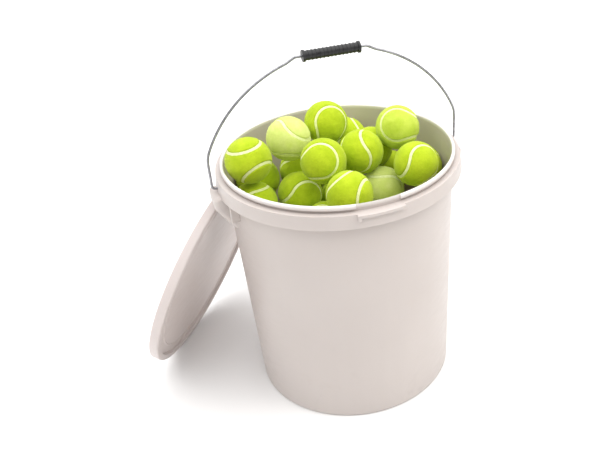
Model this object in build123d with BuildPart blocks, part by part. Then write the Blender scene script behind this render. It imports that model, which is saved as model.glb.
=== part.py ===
"""Tennis ball bucket: a moulded pail heaped with tennis balls, its wire bail with a
hand grip, and its lid leaning against the wall.

Frame: +Z up, origin at the middle of the base on the floor. X runs through the two
bail ears and -Y is the front, where the rim has its pry notch. Millimetres.
"""
from build123d import *
from math import acos, atan, cos, degrees, radians, sin, sqrt
import os

os.makedirs("parts", exist_ok=True)

# ---- pail --------------------------------------------------------------------------
pail_height = 382.0
base_radius = 154.4
wall_draft = 0.036          # radius gained per millimetre of height
wall = 2.4
foot_round = 4.0            # rounding between the base and the wall
bead_radius = 170.5         # outside of the rolled rim bead
bead_depth = 6.0
bead_crown = 2.4            # height of the bead's rounded top
flange_radius = 178.0
flange_height = 372.0
flange_thickness = 2.2
skirt_radius = 180.4
skirt_bottom = 352.6
skirt_wall = 2.0
web_count = 24              # webs between the skirt and the wall
web_thickness = 1.6
web_short = 3.0             # webs stop this far above the skirt's edge

front = -90.0               # direction of the pry notch, degrees from +X
notch_half_angle = 10.5
notch_floor = 374.5
ledge_radius = 183.0
ledge_thickness = 4.0
ledge_lip_height = 8.5
ledge_lip_angle = 1.4

# ---- bail ears ---------------------------------------------------------------------
ear_reach = 189.5           # x of the lug's outer face
ear_half_width = 24.0
ear_top = 354.5
ear_bottom = 303.0
ear_slope = 34.0            # height over which the lug runs out from the wall
ear_round = 6.0
ear_root = 1.9              # depth to which the lug is merged with the wall
gusset_angle = 14.0         # gussets on each side of a lug, degrees from the X axis
gusset_thickness = 3.0
gusset_bottom = 324.0
boss_width = 16.0           # block between skirt and wall that holds the wire's end
boss_bottom = 353.0

# ---- bail --------------------------------------------------------------------------
pivot_height = 360.0
wire_radius = 1.8
wire_clearance = 0.05
leg_x = 186.5               # half the distance between the two straight legs
hook_end_x = 172.0
hook_end_gap = 1.0          # left at the bottom of the pivot hole
hook_bend = 5.0
bow_radius = 200.0
bow_centre = -25.0          # height of the bow's centre above the pivot axis
shoulder_bend = 45.0
kink_x = 64.0
bar_x = 51.0
bar_height = 171.5          # straight bar above the pivot axis
kink_bend = 7.0
bail_lean = 3.0             # degrees towards the front

grip_length = 82.0
grip_radius = 6.6
grip_collar_radius = 8.2
grip_collar_width = 3.6
grip_rib_radius = 7.2
grip_rib_width = 1.8
grip_rib_pitch = 5.4
grip_ribs_each_side = 6
grip_edge_round = 0.5

# ---- lid ---------------------------------------------------------------------------
lid_radius = 173.0
lid_height = 14.0
lid_round = 3.0
lid_wall = 2.0
lid_ridge_inner = 161.0     # inner edge of the raised ridge that sits over the bead
lid_ridge_slope = 1.2
lid_panel_top = 9.6
lid_plug_radius = 164.4     # outside of the wall that plugs the pail's mouth
lid_plug_bottom = 4.5
lid_ring_radius = 146.0
lid_ring_rise = 1.2
lid_ring_slope = 2.0
lid_tilt = 66.6             # steepness of the leaning lid, degrees
lid_turn = -35.7            # direction in which it leans, degrees from +X
lid_x = -208.0
lid_y = 133.8

# ---- tennis balls ------------------------------------------------------------------
ball_radius = 33.0
felt_thickness = 3.0
glue_gap = 0.1
core_wall = 3.4
seam_half_width = 2.0
seam_sink = 0.7             # the seam lies this far below the felt's surface
seam_gap = 0.1
seam_tilt = 20.0            # tilt of the seam's four lobes, degrees

# Balls on top of the heap, which lift out first: centre, and turn of the seam.
top_balls = [
    ((5, 70, 395), (0, 15, -90)),
    ((-60, 50, 390), (-75, -30, 30)),
    ((-130, 5, 390), (-120, -15, -15)),
    ((-30, -25, 380), (45, 45, -165)),
    ((35, 0, 370), (-30, 0, -45)),
    ((100, 15, 390), (150, 75, 180)),
    ((100, -55, 360), (165, -45, 180)),
    ((-15, -90, 355), (180, -30, 135)),
]

# Balls of the row under them whose seams show: centre, and turn of the seam.
showing_balls = [
    ((60, -15, 310), (135, 60, 120)),
    ((-60, 15, 315), (-165, -60, -165)),
    ((-130, 5, 320), (-60, 60, -135)),
]

# Balls that fill that row, each held down by the top balls.
filling_balls = [
    (50, 120, 340),
    (70, 55, 345),
    (105, 70, 290),
    (130, 0, 325),
    (-40, 80, 320),
    (-110, 70, 325),
    (-40, -45, 290),
    (5, 20, 290),
    (20, 90, 285),
]

# Balls of that row along the front wall.
front_count = 5
front_radius = 128.0
front_height = 290.0
front_start = 205.0
front_step = 31.0
filling_turn = (50, 80, 35)  # each filling ball is turned this much more than the last

# Packed layers below the heap: an outer ring along the wall and an inner ring.
layer_count = 4
layer_pitch = 62.0
outer_ring_count = 11
inner_ring_count = 4
inner_ring_radius = 48.0
ring_gap = 0.5


def wall_outside(height):
    """Radius of the tapered wall's outer face."""
    return base_radius + wall_draft * height


def wall_inside(height):
    """Radius of the tapered wall's inner face."""
    return wall_outside(height) - wall


def polar(radius, angle):
    """Point in XY at an angle in degrees from +X."""
    return (radius * cos(radians(angle)), radius * sin(radians(angle)))


def radial_plane(angle):
    """Upright plane through the Z axis: local x runs outwards, local y is up."""
    direction = radians(angle)
    return Plane(
        origin=(0, 0, 0),
        x_dir=(cos(direction), sin(direction), 0),
        z_dir=(sin(direction), -cos(direction), 0),
    )


# ---- pail --------------------------------------------------------------------------
rim_inner = wall_inside(pail_height)
bead_bottom = pail_height - bead_depth
bead_shoulder = pail_height - bead_crown
flange_underside = flange_height - flange_thickness
neck_radius = wall_outside(flange_height)
web_inner = wall_outside(skirt_bottom) - wall / 2
web_outer = (flange_radius + skirt_radius - skirt_wall) / 2

# Rounded lug that runs out of the wall, at the +X side.
with BuildPart() as ear:
    with BuildSketch(Plane.XZ.offset(-ear_half_width)):
        with BuildLine():
            Polyline(
                (wall_outside(ear_bottom) - ear_root, ear_bottom),
                (wall_outside(ear_bottom) + wall, ear_bottom),
                (ear_reach, ear_bottom + ear_slope),
                (ear_reach, ear_top),
                (wall_outside(ear_top) - ear_root, ear_top),
                close=True,
            )
        make_face()
    extrude(amount=2 * ear_half_width)
    outer_edges = ear.edges().filter_by(lambda edge: edge.center().X > bead_radius)
    fillet(outer_edges, radius=ear_round)

with BuildPart() as pail:
    # Base, wall, rim bead, flange and skirt, turned about Z.
    with BuildSketch(Plane.XZ):
        with BuildLine():
            Line((0, 0), (base_radius - foot_round, 0))
            ThreePointArc(
                (base_radius - foot_round, 0),
                (
                    base_radius - foot_round * (1 - sin(radians(45))),
                    foot_round * (1 - cos(radians(45))),
                ),
                (wall_outside(foot_round), foot_round),
            )
            Polyline(
                (wall_outside(foot_round), foot_round),
                (wall_outside(flange_underside), flange_underside),
                (flange_radius - skirt_wall, flange_underside),
                (skirt_radius - skirt_wall, skirt_bottom),
                (skirt_radius, skirt_bottom),
                (flange_radius, flange_height),
                (neck_radius, flange_height),
                (neck_radius, bead_bottom),
                (bead_radius, bead_bottom),
                (bead_radius, bead_shoulder),
            )
            ThreePointArc(
                (bead_radius, bead_shoulder),
                ((bead_radius + rim_inner) / 2, pail_height),
                (rim_inner, bead_shoulder),
            )
            Polyline(
                (rim_inner, bead_shoulder),
                (wall_inside(wall + foot_round), wall + foot_round),
                (wall_inside(wall) - foot_round, wall),
                (0, wall),
                (0, 0),
            )
        make_face()
    revolve(axis=Axis.Z)

    # Webs that tie the skirt to the wall.
    with BuildSketch(Plane.XY.offset(skirt_bottom + web_short)):
        with PolarLocations((web_inner + web_outer) / 2, web_count, start_angle=180 / web_count):
            Rectangle(web_outer - web_inner, web_thickness)
    extrude(amount=flange_underside - skirt_bottom - web_short)

    # Gussets on each side of the two ears.
    for angle in (-gusset_angle, gusset_angle):
        with BuildSketch(Plane.XY.offset(gusset_bottom)):
            with PolarLocations((web_inner + web_outer) / 2, 2, start_angle=angle):
                Rectangle(web_outer - web_inner, gusset_thickness)
        extrude(amount=flange_underside - gusset_bottom)

    # Bail ears, one under each pivot.
    add(ear.part)
    mirror(ear.part, about=Plane.YZ)

    # Bosses behind the skirt that hold the wire's ends.
    with BuildSketch(Plane.XY.offset(boss_bottom)):
        with PolarLocations((web_inner + web_outer) / 2, 2):
            Rectangle(web_outer - web_inner, boss_width)
    extrude(amount=flange_underside - boss_bottom)

    # Ledge under the notch, where the flange steps out, with a lip at one end.
    for ledge_depth, ledge_arc in (
        (ledge_thickness, 2 * notch_half_angle),
        (ledge_lip_height, ledge_lip_angle),
    ):
        with BuildSketch(radial_plane(front - notch_half_angle)):
            with Locations((flange_radius - skirt_wall, flange_height)):
                Rectangle(
                    ledge_radius - flange_radius + skirt_wall,
                    ledge_depth,
                    align=(Align.MIN, Align.MAX),
                )
        revolve(axis=Axis.Z, revolution_arc=ledge_arc)

    # Pry notch: the bead is cut away at the front, down to the thin wall.
    notch_edge = bead_radius + wall
    with BuildSketch(Plane.XY.offset(notch_floor)):
        with BuildLine():
            Line((0, 0), polar(notch_edge, front - notch_half_angle))
            ThreePointArc(
                polar(notch_edge, front - notch_half_angle),
                polar(notch_edge, front),
                polar(notch_edge, front + notch_half_angle),
            )
            Line(polar(notch_edge, front + notch_half_angle), (0, 0))
        make_face()
        Circle(wall_outside(notch_floor), mode=Mode.SUBTRACT)
    extrude(amount=pail_height - notch_floor, mode=Mode.SUBTRACT)

    # Pivot holes for the wire's ends.
    for side in (-1, 1):
        with BuildSketch(Plane.YZ.offset(side * (hook_end_x - hook_end_gap))):
            with Locations((0, pivot_height)):
                Circle(wire_radius + wire_clearance)
        extrude(amount=side * (ear_reach - hook_end_x), mode=Mode.SUBTRACT)

pail.part.label = "pail"
export_step(pail.part, "parts/pail.step")


# ---- bail wire ---------------------------------------------------------------------
lean = radians(bail_lean)
bail_plane = Plane(
    origin=(0, 0, pivot_height), x_dir=(1, 0, 0), z_dir=(0, -cos(lean), -sin(lean))
)


def bow_height(x):
    """Height of the bail's bow above the pivot axis at a distance x from the middle."""
    return bow_centre + sqrt(bow_radius**2 - x**2)


def bend(path, x, height, radius):
    """Round the two corners of the bail's path at +-x and a height above the pivots."""
    corners = path.vertices().filter_by(
        lambda corner: abs(abs(corner.X) - x) < 0.01
        and abs((corner.Z - pivot_height) / cos(lean) - height) < 0.01
    )
    fillet(corners, radius)


bow_middle_x = bow_radius * sin(radians(45))

with BuildPart() as bail_wire:
    with BuildLine(bail_plane) as bail_path:
        for side in (-1, 1):
            Polyline(
                (side * hook_end_x, 0),
                (side * leg_x, 0),
                (side * leg_x, bow_height(leg_x)),
            )
            ThreePointArc(
                (side * leg_x, bow_height(leg_x)),
                (side * bow_middle_x, bow_height(bow_middle_x)),
                (side * kink_x, bow_height(kink_x)),
            )
            Line((side * kink_x, bow_height(kink_x)), (side * bar_x, bar_height))
        Line((-bar_x, bar_height), (bar_x, bar_height))
        bend(bail_path, leg_x, 0, hook_bend)
        bend(bail_path, leg_x, bow_height(leg_x), shoulder_bend)
        bend(bail_path, kink_x, bow_height(kink_x), kink_bend)
        bend(bail_path, bar_x, bar_height, kink_bend)
    with BuildSketch(Plane(origin=(-hook_end_x, 0, pivot_height), z_dir=(-1, 0, 0))):
        Circle(wire_radius)
    sweep(path=bail_path.line)

bail_wire.part.label = "bail_wire"
export_step(bail_wire.part, "parts/bail_wire.step")


# ---- hand grip ---------------------------------------------------------------------
bar_centre = (0, -bar_height * sin(lean), pivot_height + bar_height * cos(lean))
grip_bore = wire_radius + wire_clearance

with BuildPart() as hand_grip:
    with BuildSketch(Plane(origin=bar_centre, x_dir=(1, 0, 0), z_dir=(0, -1, 0))):
        with Locations((0, grip_bore)):
            Rectangle(grip_length, grip_radius - grip_bore, align=(Align.CENTER, Align.MIN))
            with GridLocations(grip_rib_pitch, 0, 2 * grip_ribs_each_side + 1, 1):
                Rectangle(
                    grip_rib_width, grip_rib_radius - grip_bore, align=(Align.CENTER, Align.MIN)
                )
            with GridLocations(grip_length - grip_collar_width, 0, 2, 1):
                Rectangle(
                    grip_collar_width,
                    grip_collar_radius - grip_bore,
                    align=(Align.CENTER, Align.MIN),
                )
    revolve(axis=Axis(bar_centre, (1, 0, 0)))
    grip_rims = hand_grip.edges().filter_by(GeomType.CIRCLE).filter_by(
        lambda rim: rim.radius > grip_radius + 0.1
    )
    fillet(grip_rims, radius=grip_edge_round)

hand_grip.part.label = "hand_grip"
export_step(hand_grip.part, "parts/hand_grip.step")


# ---- lid ---------------------------------------------------------------------------
steepness = radians(lid_tilt)
heading = radians(lid_turn)
lid_normal = Vector(sin(steepness) * cos(heading), sin(steepness) * sin(heading), -cos(steepness))
lid_level = Vector(-sin(heading), cos(heading), 0)

# Height at which the lid's rounded edge rests exactly on the floor.
lid_z = (
    (lid_radius - lid_round) * sin(steepness)
    + (lid_height - lid_round) * cos(steepness)
    + lid_round
)
lid_centre = (lid_x, lid_y, lid_z)
lid_plane = Plane(origin=lid_centre, x_dir=lid_level, z_dir=lid_level.cross(lid_normal))
lid_roof = lid_height - lid_wall
ring_outer = lid_ring_radius + lid_ring_slope
ring_inner = lid_ring_radius - lid_ring_slope

with BuildPart() as lid:
    with BuildSketch(lid_plane):
        with BuildLine():
            Polyline(
                (0, lid_panel_top - lid_wall),
                (lid_plug_radius - lid_wall, lid_panel_top - lid_wall),
                (lid_plug_radius - lid_wall, lid_plug_bottom),
                (lid_plug_radius, lid_plug_bottom),
                (lid_plug_radius, lid_roof),
                (lid_radius - lid_wall, lid_roof),
                (lid_radius - lid_wall, 0),
                (lid_radius, 0),
                (lid_radius, lid_height - lid_round),
            )
            ThreePointArc(
                (lid_radius, lid_height - lid_round),
                (
                    lid_radius - lid_round * (1 - cos(radians(45))),
                    lid_height - lid_round * (1 - sin(radians(45))),
                ),
                (lid_radius - lid_round, lid_height),
            )
            Polyline(
                (lid_radius - lid_round, lid_height),
                (lid_ridge_inner + lid_ridge_slope, lid_height),
                (lid_ridge_inner, lid_panel_top),
                (ring_outer, lid_panel_top),
                (lid_ring_radius, lid_panel_top + lid_ring_rise),
                (ring_inner, lid_panel_top),
                (0, lid_panel_top),
                (0, lid_panel_top - lid_wall),
            )
        make_face()
    revolve(axis=Axis(lid_centre, lid_normal))

lid.part.label = "lid"
export_step(lid.part, "parts/lid.step")


# ---- one tennis ball, seen at the origin -------------------------------------------
# The seam is four circular arcs, or lobes, that meet on the equator. Above the equator
# it runs round the lobes at +X and -X, and below it round those at +Y and -Y.
felt_inner = ball_radius - felt_thickness
core_radius = felt_inner - glue_gap
lobe_angle = degrees(acos(-(sin(radians(seam_tilt)) ** 2))) / 2
lobe_arc = 180 + 2 * degrees(atan(sin(radians(seam_tilt))))


def lobe_rise(lobe):
    """+1 for a lobe tilted up, -1 for one tilted down."""
    return 1 if lobe % 2 == 0 else -1


def lobe_plane(lobe):
    """Plane through a lobe's middle (local x) and its first joint with the next lobe."""
    tilt = radians(seam_tilt)
    middle = Vector(*polar(cos(tilt), 90 * lobe), lobe_rise(lobe) * sin(tilt))
    joint = Vector(*polar(1, 90 * lobe + 45 * lobe_rise(lobe)), 0)
    return Plane(origin=(0, 0, 0), x_dir=middle, z_dir=middle.cross(joint))


def lobe_solid(lobe, inner, outer, first, last, arc):
    """Piece of a spherical shell between two angles from the lobe's middle."""
    with BuildPart() as piece:
        with BuildSketch(lobe_plane(lobe)):
            with BuildLine():
                CenterArc((0, 0), outer, first, last - first)
                CenterArc((0, 0), inner, first, last - first)
                Line(polar(inner, first), polar(outer, first))
                Line(polar(inner, last), polar(outer, last))
            make_face()
        revolve(axis=Axis((0, 0, 0), lobe_plane(lobe).x_dir), revolution_arc=arc)
    return piece.part


with BuildPart() as ball_core:
    Sphere(core_radius)
    Sphere(core_radius - core_wall, mode=Mode.SUBTRACT)

with BuildPart() as felt_cover:
    Sphere(ball_radius)
    Sphere(felt_inner, mode=Mode.SUBTRACT)

# One of the cover's two dog-bone panels: the upper half without the lobes at +X and -X,
# and with those at +Y and -Y. It stops short of the seam.
seam_margin = degrees((seam_half_width + seam_gap) / ball_radius)
with BuildPart() as felt_panel:
    Sphere(ball_radius)
    Sphere(felt_inner, mode=Mode.SUBTRACT)
    split(bisect_by=Plane.XY, keep=Keep.TOP)
    for lobe in (0, 2):
        outside = lobe_angle + seam_margin
        add(lobe_solid(lobe, felt_inner, ball_radius, 0, outside, 360), mode=Mode.SUBTRACT)
    for lobe in (1, 3):
        inside = lobe_angle - seam_margin
        add(lobe_solid(lobe, felt_inner, ball_radius, 0, inside, 360))

# The other panel is the same, turned half a turn about a joint of the seam.
felt_a = felt_panel.part
felt_b = felt_a.rotate(Axis((0, 0, 0), (1, 1, 0)), 180)

# The seam's four arcs meet face to face.
seam_spread = degrees(seam_half_width / ball_radius)
seam_arcs = [
    lobe_solid(
        lobe,
        felt_inner,
        ball_radius - seam_sink,
        lobe_angle - seam_spread,
        lobe_angle + seam_spread,
        lobe_arc,
    )
    for lobe in range(4)
]


def place(shapes, spots, label):
    """Copy the shapes to every spot, as separate solids, and write them out as one part."""
    solids = [solid.moved(spot) for spot in spots for shape in shapes for solid in shape.solids()]
    placed = Part(Compound(solids).wrapped, label=label)
    export_step(placed, f"parts/{label}.step")


# ---- balls on top of the heap ------------------------------------------------------
for number, (centre, turn) in enumerate(top_balls, start=1):
    spot = Location(centre, turn)
    place([ball_core.part], [spot], f"ball_{number}_core")
    place([felt_a], [spot], f"ball_{number}_felt_a")
    place([felt_b], [spot], f"ball_{number}_felt_b")
    place(seam_arcs, [spot], f"ball_{number}_seam")

# ---- balls under them --------------------------------------------------------------
front_balls = [
    (*polar(front_radius, front_start + ball * front_step), front_height)
    for ball in range(front_count)
]
heap_spots = [Location(centre, turn) for centre, turn in showing_balls]
for ball, centre in enumerate(filling_balls + front_balls):
    heap_spots.append(Location(centre, [ball * turn for turn in filling_turn]))
place([ball_core.part], heap_spots, "heap_cores")
place([felt_a, felt_b], heap_spots, "heap_felts")
place(seam_arcs, heap_spots, "heap_seams")

# ---- packed layers -----------------------------------------------------------------
packed_spots = []
for layer in range(layer_count):
    layer_height = wall + ball_radius + ring_gap + layer * layer_pitch
    outer_ring = (wall_inside(layer_height) - ball_radius - ring_gap, outer_ring_count)
    inner_ring = (inner_ring_radius, inner_ring_count)
    for ring_radius, ring_count in (outer_ring, inner_ring):
        step = 360 / ring_count
        for ball in range(ring_count):
            angle = (ball + layer % 2 / 2) * step
            packed_spots.append(Location((*polar(ring_radius, angle), layer_height)))
place([ball_core.part], packed_spots, "packed_cores")
place([felt_cover.part], packed_spots, "packed_felts")
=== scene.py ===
"""Looks for the tennis ball bucket: felt balls, moulded pail and lid, wire bail, grip."""
import math
import random

import bmesh
import bpy
from mathutils import Matrix, Vector, noise
from mathutils.bvhtree import BVHTree


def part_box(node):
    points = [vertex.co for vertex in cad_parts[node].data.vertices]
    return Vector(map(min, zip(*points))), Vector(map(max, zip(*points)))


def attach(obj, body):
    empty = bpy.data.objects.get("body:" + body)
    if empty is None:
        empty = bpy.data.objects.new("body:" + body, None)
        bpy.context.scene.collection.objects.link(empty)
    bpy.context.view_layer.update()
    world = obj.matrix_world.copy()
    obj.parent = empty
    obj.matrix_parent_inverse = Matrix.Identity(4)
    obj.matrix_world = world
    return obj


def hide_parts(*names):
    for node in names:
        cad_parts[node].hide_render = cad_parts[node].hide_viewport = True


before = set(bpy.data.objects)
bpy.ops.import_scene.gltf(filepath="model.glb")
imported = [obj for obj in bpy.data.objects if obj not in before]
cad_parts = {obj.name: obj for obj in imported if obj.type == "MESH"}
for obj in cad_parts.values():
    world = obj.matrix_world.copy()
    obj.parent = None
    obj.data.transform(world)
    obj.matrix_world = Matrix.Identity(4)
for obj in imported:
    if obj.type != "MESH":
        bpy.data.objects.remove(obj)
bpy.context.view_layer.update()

MM = 0.001
WELD = 1e-6                 # points closer than this are one

BALL_RADIUS = 33 * MM
TOP_BALLS = 8               # they lift out: ball_1 to ball_8
PALE_HEAP_BALL = Vector((0.060, -0.015, 0.310))  # near the palest ball of the row under them
VISIBLE_HEIGHT = 0.305      # balls with their middle below this get no stray fibres

SEAM_SINK = 0.7 * MM        # the seam lies this far below the ball's surface
SEAM_DEPTH = 1.7 * MM       # the felt dips this far below it, under the seam
SEAM_LIP = 1.5 * MM         # width over which it dips
SEAM_REFINED = 2.4 * MM     # the felt's mesh is finer within this distance of the seam
SEAM_BARE = 0.6 * MM        # no fibres within this distance of the seam

LUMP_FREQUENCY = 110        # lumps of the felt, per metre
LUMP_HEIGHT = 0.30          # millimetres
FINE_LUMP_FREQUENCY = 420
FINE_LUMP_HEIGHT = 0.20

FIBRES = 2600               # tries at a stray fibre on each ball that gets them
FIBRE_LENGTH = (0.8, 2.2)   # millimetres; a fibre comes out at 0.77 to 0.94 of this
FIBRE_LEAN = 0.75           # how far its tip lies along the felt, against that length
FIBRE_RISE = (0.25, 0.75)   # how far its tip stands up, against how far it lies along
FIBRE_ROOT = 0.1            # millimetres that it starts below the felt
FIBRE_HALF_WIDTH = (0.05, 0.09)  # millimetres, at its root
FIBRE_THICKNESS = 1.7       # at its root, against its half width

RIM_HIGHLIGHT_START = 0.3752     # painted highlight: the pail's colour turns paler from here up, along the top of the rim
RIM_HIGHLIGHT_END = 0.380        # and is palest from here up

FLOOR_HALF = 14.0           # half the floor's side
LAMP_TARGET = (0, 0, 0.25)  # the pail's axis, two thirds of the way up
CAMERA_PLACE = (-0.2835, -0.9875, 0.8704)
CAMERA_FORWARD = Vector((0.309, 0.796, -0.520))
CAMERA_UP = Vector((0.227, 0.470, 0.853))

# The Mix node has sockets for several kinds of value, so its colour sockets go by number.
MIX_FACTOR, MIX_FIRST, MIX_SECOND, MIX_RESULT = 0, 6, 7, 2


# ---- node helpers ------------------------------------------------------------------
class Look:
    """A material being built from nodes around one Principled shader."""

    def __init__(self, name, **values):
        self.material = bpy.data.materials.new(name)
        self.material.use_nodes = True
        self.nodes = self.material.node_tree.nodes
        self.links = self.material.node_tree.links
        self.shader = self.nodes["Principled BSDF"]
        for socket, value in values.items():
            self.shader.inputs[socket.replace("_", " ")].default_value = value
        self.coordinates = self.nodes.new("ShaderNodeTexCoord").outputs["Object"]

    def stretched(self, scale):
        """Object coordinates, scaled differently along each axis."""
        node = self.nodes.new("ShaderNodeMapping")
        node.inputs["Scale"].default_value = scale
        self.links.new(self.coordinates, node.inputs["Vector"])
        return node.outputs["Vector"]

    def noise(self, scale, detail=4.0, roughness=0.55, vector=None, distortion=0.0):
        """Layered noise over the piece, from 0 to 1."""
        node = self.nodes.new("ShaderNodeTexNoise")
        node.inputs["Scale"].default_value = scale
        node.inputs["Detail"].default_value = detail
        node.inputs["Roughness"].default_value = roughness
        node.inputs["Distortion"].default_value = distortion
        self.links.new(vector or self.coordinates, node.inputs["Vector"])
        return node.outputs["Fac"]

    def ramp(self, factor, *stops):
        """Colour ramp through (position, colour) stops."""
        node = self.nodes.new("ShaderNodeValToRGB")
        elements = node.color_ramp.elements
        for spot, (position, colour) in enumerate(stops):
            element = elements[spot] if spot < 2 else elements.new(position)
            element.position = position
            element.color = (*colour, 1)
        self.links.new(factor, node.inputs["Fac"])
        return node.outputs["Color"]

    def range(self, factor, low, high, start=0.0, end=1.0):
        """Maps start..end to low..high."""
        node = self.nodes.new("ShaderNodeMapRange")
        node.inputs["From Min"].default_value = start
        node.inputs["From Max"].default_value = end
        node.inputs["To Min"].default_value = low
        node.inputs["To Max"].default_value = high
        self.links.new(factor, node.inputs["Value"])
        return node.outputs["Result"]

    def mix(self, factor, first, second):
        """Goes from a colour output to a plain colour as the factor goes from 0 to 1."""
        node = self.nodes.new("ShaderNodeMix")
        node.data_type = "RGBA"
        self.links.new(factor, node.inputs[MIX_FACTOR])
        self.links.new(first, node.inputs[MIX_FIRST])
        node.inputs[MIX_SECOND].default_value = (*second, 1)
        return node.outputs[MIX_RESULT]

    def times(self, first, second):
        """Product of two values."""
        node = self.nodes.new("ShaderNodeMath")
        node.operation = "MULTIPLY"
        self.links.new(first, node.inputs[0])
        self.links.new(second, node.inputs[1])
        return node.outputs["Value"]

    def height(self):
        """Height above the floor."""
        node = self.nodes.new("ShaderNodeSeparateXYZ")
        self.links.new(self.coordinates, node.inputs["Vector"])
        return node.outputs["Z"]

    def set(self, socket, value):
        """Drives one of the shader's inputs with an output."""
        self.links.new(value, self.shader.inputs[socket])

    def bump(self, *layers):
        """Stacks (height, distance, strength) layers of bump."""
        normal = None
        for height, distance, strength in layers:
            node = self.nodes.new("ShaderNodeBump")
            node.inputs["Distance"].default_value = distance
            node.inputs["Strength"].default_value = strength
            self.links.new(height, node.inputs["Height"])
            if normal:
                self.links.new(normal, node.inputs["Normal"])
            normal = node.outputs["Normal"]
        self.set("Normal", normal)


def moulded_plastic(name, light, dark, grime, rim=None):
    """Satin off-white polyethylene: flow marks, scuffs, grime low down, perhaps a painted highlight
    along the rim.
    """
    look = Look(name, IOR=1.5, Subsurface_Weight=0.12, Subsurface_Scale=0.006)
    look.shader.inputs["Subsurface Radius"].default_value = (1.0, 0.85, 0.7)
    clouds = look.noise(4.0, detail=2.0)
    streaks = look.noise(1.0, detail=5.0, roughness=0.6, vector=look.stretched((45, 45, 4)))
    scuffs = look.noise(
        1.0, detail=8.0, roughness=0.7, vector=look.stretched((30, 30, 160)), distortion=0.6
    )
    colour = look.ramp(clouds, (0.1, dark), (0.75, light))
    colour = look.mix(look.range(streaks, 0.0, 0.18, start=0.35, end=0.75), colour, dark)
    # painted highlight: the colour turns paler at the top of the rim, where the top light falls
    if rim:
        near_rim = look.range(look.height(), 0.0, 1.0, start=RIM_HIGHLIGHT_START, end=RIM_HIGHLIGHT_END)
        colour = look.mix(near_rim, colour, rim)
    spots = look.noise(38.0, detail=6.0, roughness=0.65)
    dirt = look.range(spots, 0.0, 0.22, start=0.58, end=0.8)
    low_down = look.range(look.height(), 1.0, 0.25, start=0.0, end=0.12)
    look.set("Base Color", look.mix(look.times(dirt, low_down), colour, grime))
    look.set("Roughness", look.range(scuffs, 0.30, 0.52, start=0.35, end=0.7))
    look.bump(
        (streaks, 0.0003, 0.14),
        (look.noise(420.0, detail=3.0), 0.00008, 0.5),
        (look.range(scuffs, 0.0, 1.0, start=0.62, end=0.66), 0.00005, 0.4),
    )
    return look.material


def felt(name, bright, deep):
    """Needled wool felt: matted fibres, uneven dye, a soft sheen."""
    look = Look(name, Roughness=0.92, Sheen_Weight=0.22, Sheen_Roughness=0.5)
    look.shader.inputs["Sheen Tint"].default_value = (0.95, 1.0, 0.55, 1)
    look.shader.inputs["Specular IOR Level"].default_value = 0.15
    patches = look.noise(55.0, roughness=0.6)
    fibres = look.noise(650.0, detail=6.0, roughness=0.75, distortion=1.6)
    colour = look.ramp(patches, (0.32, deep), (0.68, bright))
    shadowed = tuple(0.72 * part for part in deep)
    between = look.range(fibres, 0.55, 0.0, start=0.3, end=0.6)
    look.set("Base Color", look.mix(between, colour, shadowed))
    look.bump((look.noise(160.0, roughness=0.6), 0.0009, 0.5), (fibres, 0.0006, 0.8))
    return look.material


def seam_rubber():
    """Pale cement of the seam, stained by the felt."""
    look = Look("seam_rubber", Roughness=0.62)
    stains = look.noise(220.0, detail=5.0, roughness=0.6)
    pale, soiled = (0.88, 0.93, 0.50), (0.72, 0.80, 0.28)
    look.set("Base Color", look.ramp(stains, (0.28, soiled), (0.6, pale)))
    look.bump((look.noise(900.0, detail=3.0), 0.0002, 0.6))
    return look.material


def core_rubber():
    """Dull black rubber of the hollow cores."""
    look = Look("core_rubber", Roughness=0.8)
    shades = look.noise(120.0)
    look.set("Base Color", look.ramp(shades, (0.3, (0.03, 0.03, 0.03)), (0.7, (0.06, 0.06, 0.055))))
    look.bump((look.noise(500.0), 0.0002, 0.5))
    return look.material


def zinc_wire():
    """Drawn steel wire with a dull zinc coat and darker spangles."""
    look = Look("zinc_wire", Metallic=1.0)
    spangle = look.noise(260.0, detail=5.0, roughness=0.65)
    look.set("Base Color", look.ramp(spangle, (0.3, (0.20, 0.20, 0.215)), (0.7, (0.40, 0.40, 0.42))))
    look.set("Roughness", look.range(look.noise(600.0), 0.26, 0.5, start=0.3, end=0.7))
    look.bump((look.noise(1100.0, detail=3.0), 0.00006, 0.6))
    return look.material


def grip_plastic():
    """Black moulded plastic, worn satin in places."""
    look = Look("grip_plastic", IOR=1.46)
    wear = look.noise(240.0, detail=6.0, roughness=0.7)
    look.set("Base Color", look.ramp(wear, (0.35, (0.008, 0.008, 0.009)), (0.8, (0.03, 0.03, 0.032))))
    look.set("Roughness", look.range(wear, 0.28, 0.5, start=0.3, end=0.7))
    look.bump((look.noise(1500.0, detail=3.0), 0.00008, 0.6))
    return look.material


def floor_paint():
    """Matt white paint."""
    look = Look("floor_paint", Roughness=0.85)
    clouds = look.noise(3.0)
    look.set("Base Color", look.ramp(clouds, (0.3, (0.90, 0.90, 0.90)), (0.7, (0.93, 0.93, 0.93))))
    look.bump((look.noise(300.0), 0.0002, 0.3))
    return look.material


GRIME = (0.36, 0.31, 0.28)
# painted highlight for the top of the pail's rim
RIM_HIGHLIGHT = (0.80, 0.76, 0.735)
PAIL = moulded_plastic("pail_plastic", (0.59, 0.535, 0.505), (0.52, 0.467, 0.441), GRIME, RIM_HIGHLIGHT)
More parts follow.
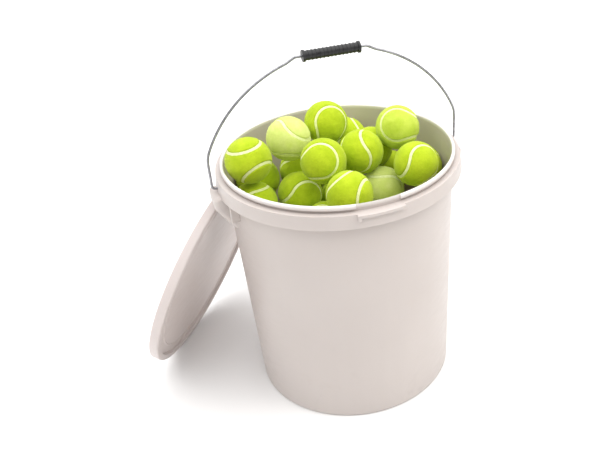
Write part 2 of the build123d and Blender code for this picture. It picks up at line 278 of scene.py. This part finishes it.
# painted light: the lid gets a paler copy of the pail's plastic, standing in for light that its face,
# turned to the pail, does not get
LIGHTENED_LID = moulded_plastic("lid_plastic", (0.68, 0.615, 0.595), (0.60, 0.535, 0.515), GRIME)
FELTS = (
    felt("felt", (0.57, 0.71, 0.028), (0.42, 0.57, 0.012)),
    felt("felt_faded", (0.66, 0.79, 0.11), (0.52, 0.68, 0.055)),
    felt("felt_pale", (0.80, 0.87, 0.31), (0.68, 0.79, 0.19)),
)
FRESH, FADED, PALE = range(3)
TOP_BALL_FELTS = {2: PALE, 6: FADED}   # the other top balls are fresh
SEAM = seam_rubber()
CORE = core_rubber()
WIRE = zinc_wire()
GRIP = grip_plastic()


def finish_node(name, material):
    """Gives a CAD node its material."""
    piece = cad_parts[name]
    piece.data.materials.clear()
    piece.data.materials.append(material)


for node, material in (
    ("pail", PAIL),
    ("lid", LIGHTENED_LID),
    ("bail_wire", WIRE),
    ("hand_grip", GRIP),
    ("heap_cores", CORE),
    ("heap_seams", SEAM),
    ("packed_cores", CORE),
    ("packed_felts", FELTS[FRESH]),
):
    finish_node(node, material)
for number in range(1, TOP_BALLS + 1):
    finish_node(f"ball_{number}_core", CORE)
    finish_node(f"ball_{number}_seam", SEAM)


# ---- felt balls --------------------------------------------------------------------
def mesh_tree(node):
    """Tree for finding the nearest point on a CAD node."""
    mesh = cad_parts[node].data
    points = [vertex.co for vertex in mesh.vertices]
    return BVHTree.FromPolygons(points, [polygon.vertices for polygon in mesh.polygons])


def shell_middles(node):
    """Middle of each separate shell of a CAD node, without repeats."""
    shape = bmesh.new()
    shape.from_mesh(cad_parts[node].data)
    bmesh.ops.remove_doubles(shape, verts=shape.verts, dist=WELD)
    seen, middles = set(), []
    for start in shape.verts:
        if start in seen:
            continue
        seen.add(start)
        stack, points = [start], []
        while stack:
            vertex = stack.pop()
            points.append(vertex.co)
            for edge in vertex.link_edges:
                other = edge.other_vert(vertex)
                if other not in seen:
                    seen.add(other)
                    stack.append(other)
        low = Vector([min(point[axis] for point in points) for axis in range(3)])
        high = Vector([max(point[axis] for point in points) for axis in range(3)])
        middle = (low + high) / 2
        if all((middle - known).length > BALL_RADIUS for known in middles):
            middles.append(middle)
    shape.free()
    return middles


def ball_shell(middle, tree):
    """Closed felt surface with a dip along the seam: points, triangles, seam distances."""
    shape = bmesh.new()
    bmesh.ops.create_icosphere(shape, subdivisions=6, radius=BALL_RADIUS)
    bmesh.ops.translate(shape, verts=shape.verts, vec=middle)
    near = [
        edge
        for edge in shape.edges
        if tree.find_nearest((edge.verts[0].co + edge.verts[1].co) / 2)[3] < SEAM_REFINED
    ]
    bmesh.ops.subdivide_edges(shape, edges=near, cuts=1, use_grid_fill=True)
    bmesh.ops.triangulate(shape, faces=shape.faces)
    distances = []
    for vertex in shape.verts:
        outward = (vertex.co - middle).normalized()
        gap = tree.find_nearest(middle + outward * (BALL_RADIUS - SEAM_SINK))[3]
        distances.append(gap)
        slope = min(gap / SEAM_LIP, 1.0)
        dip = SEAM_DEPTH * (1 - slope) ** 2
        lumps = (
            noise.noise(vertex.co * LUMP_FREQUENCY) * LUMP_HEIGHT
            + noise.noise(vertex.co * FINE_LUMP_FREQUENCY) * FINE_LUMP_HEIGHT
        )
        vertex.co = middle + outward * (BALL_RADIUS - dip + lumps * MM * slope)
    points = [vertex.co.copy() for vertex in shape.verts]
    for spot, vertex in enumerate(shape.verts):
        vertex.index = spot
    triangles = [[vertex.index for vertex in face.verts] for face in shape.faces]
    shape.free()
    return points, triangles, distances


def add_fibres(points, triangles, distances, middle, dice):
    """Short fibres that stand off the felt, each a thin closed sliver."""
    count = len(distances)
    for _ in range(FIBRES):
        spot = dice.randrange(count)
        if distances[spot] < SEAM_BARE:
            continue
        root = points[spot]
        outward = (root - middle).normalized()
        along = outward.orthogonal().normalized()
        along.rotate(Matrix.Rotation(dice.uniform(0, 2 * math.pi), 3, outward))
        across = outward.cross(along)
        length = dice.uniform(*FIBRE_LENGTH) * MM
        width = dice.uniform(*FIBRE_HALF_WIDTH) * MM
        tip = root + (outward * dice.uniform(*FIBRE_RISE) + along) * length * FIBRE_LEAN
        first = len(points)
        base = root - outward * FIBRE_ROOT * MM
        points += [
            base + across * width,
            base - across * width,
            base + outward * width * FIBRE_THICKNESS,
            tip,
        ]
        triangles += [
            [first, first + 1, first + 3],
            [first + 1, first + 2, first + 3],
            [first + 2, first, first + 3],
            [first, first + 2, first + 1],
        ]


def felt_piece(name, balls, tree, seed):
    """One object with the felt of several (middle, material) balls."""
    dice = random.Random(seed)
    points, triangles, finishes = [], [], []
    for middle, material in balls:
        own_points, own_triangles, distances = ball_shell(middle, tree)
        if middle.z > VISIBLE_HEIGHT:
            add_fibres(own_points, own_triangles, distances, middle, dice)
        shift = len(points)
        points += own_points
        triangles += [[corner + shift for corner in triangle] for triangle in own_triangles]
        finishes += [material] * len(own_triangles)
    mesh = bpy.data.meshes.new(name)
    mesh.from_pydata(points, [], triangles)
    for material in FELTS:
        mesh.materials.append(material)
    mesh.polygons.foreach_set("material_index", finishes)
    mesh.polygons.foreach_set("use_smooth", [True] * len(triangles))
    mesh.update()
    piece = bpy.data.objects.new(name, mesh)
    bpy.context.collection.objects.link(piece)
    return piece


for number in range(1, TOP_BALLS + 1):
    low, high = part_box(f"ball_{number}_core")
    shade = TOP_BALL_FELTS.get(number, FRESH)
    cover = felt_piece(
        f"ball_{number}_felt", [((low + high) / 2, shade)], mesh_tree(f"ball_{number}_seam"), number
    )
    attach(cover, f"ball_{number}")
    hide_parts(f"ball_{number}_felt_a", f"ball_{number}_felt_b")

heap_middles = shell_middles("heap_cores")
pale_middle = min(heap_middles, key=lambda middle: (middle - PALE_HEAP_BALL).length)
heap = felt_piece(
    "heap_felt",
    [(middle, PALE if middle == pale_middle else FRESH) for middle in heap_middles],
    mesh_tree("heap_seams"),
    TOP_BALLS + 1,
)
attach(heap, "pail")
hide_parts("heap_felts")


# ---- floor, light and camera -------------------------------------------------------
floor_mesh = bpy.data.meshes.new("floor")
floor_mesh.from_pydata(
    [(x * FLOOR_HALF, y * FLOOR_HALF, 0) for x, y in ((-1, -1), (1, -1), (1, 1), (-1, 1))],
    [],
    [(0, 1, 2, 3)],
)
floor_mesh.materials.append(floor_paint())
floor = bpy.data.objects.new("floor", floor_mesh)
bpy.context.collection.objects.link(floor)

world = bpy.data.worlds.new("studio")
world.use_nodes = True
world.node_tree.nodes["Background"].inputs["Color"].default_value = (1.0, 0.99, 0.98, 1)
world.node_tree.nodes["Background"].inputs["Strength"].default_value = 0.5
bpy.context.scene.world = world


def soft_box(name, place, target, size, power, colour):
    """Rectangular area light, aimed at a point. Sizes in metres, power in watts."""
    data = bpy.data.lights.new(name, "AREA")
    data.shape = "RECTANGLE"
    data.size, data.size_y = size
    data.energy = power
    data.color = colour
    lamp = bpy.data.objects.new(name, data)
    lamp.location = place
    lamp.rotation_mode = "QUATERNION"
    lamp.rotation_quaternion = (Vector(target) - Vector(place)).to_track_quat("-Z", "Y")
    bpy.context.collection.objects.link(lamp)


soft_box("key", (1.7, -1.2, 2.0), LAMP_TARGET, (1.4, 1.4), 17, (1.0, 0.97, 0.92))
soft_box("fill", (-1.9, -1.0, 1.5), LAMP_TARGET, (1.8, 1.8), 5, (0.95, 0.97, 1.0))
soft_box("top", (0.4, 1.0, 4.2), (0.4, 1.0, 0), (9.0, 9.0), 490, (1.0, 0.995, 0.99))

camera_data = bpy.data.cameras.new("camera")
camera_data.lens = 45.65
camera_data.sensor_width = 36.0
camera_data.shift_x = -0.164
camera = bpy.data.objects.new("camera", camera_data)
forward = CAMERA_FORWARD.normalized()
right = forward.cross(CAMERA_UP).normalized()
up = right.cross(forward)
camera.matrix_world = Matrix.Translation(CAMERA_PLACE) @ Matrix(
    (
        (right.x, up.x, -forward.x, 0),
        (right.y, up.y, -forward.y, 0),
        (right.z, up.z, -forward.z, 0),
        (0, 0, 0, 1),
    )
)
bpy.context.collection.objects.link(camera)
bpy.context.scene.camera = camera
bpy.context.scene.view_settings.view_transform = "Standard"
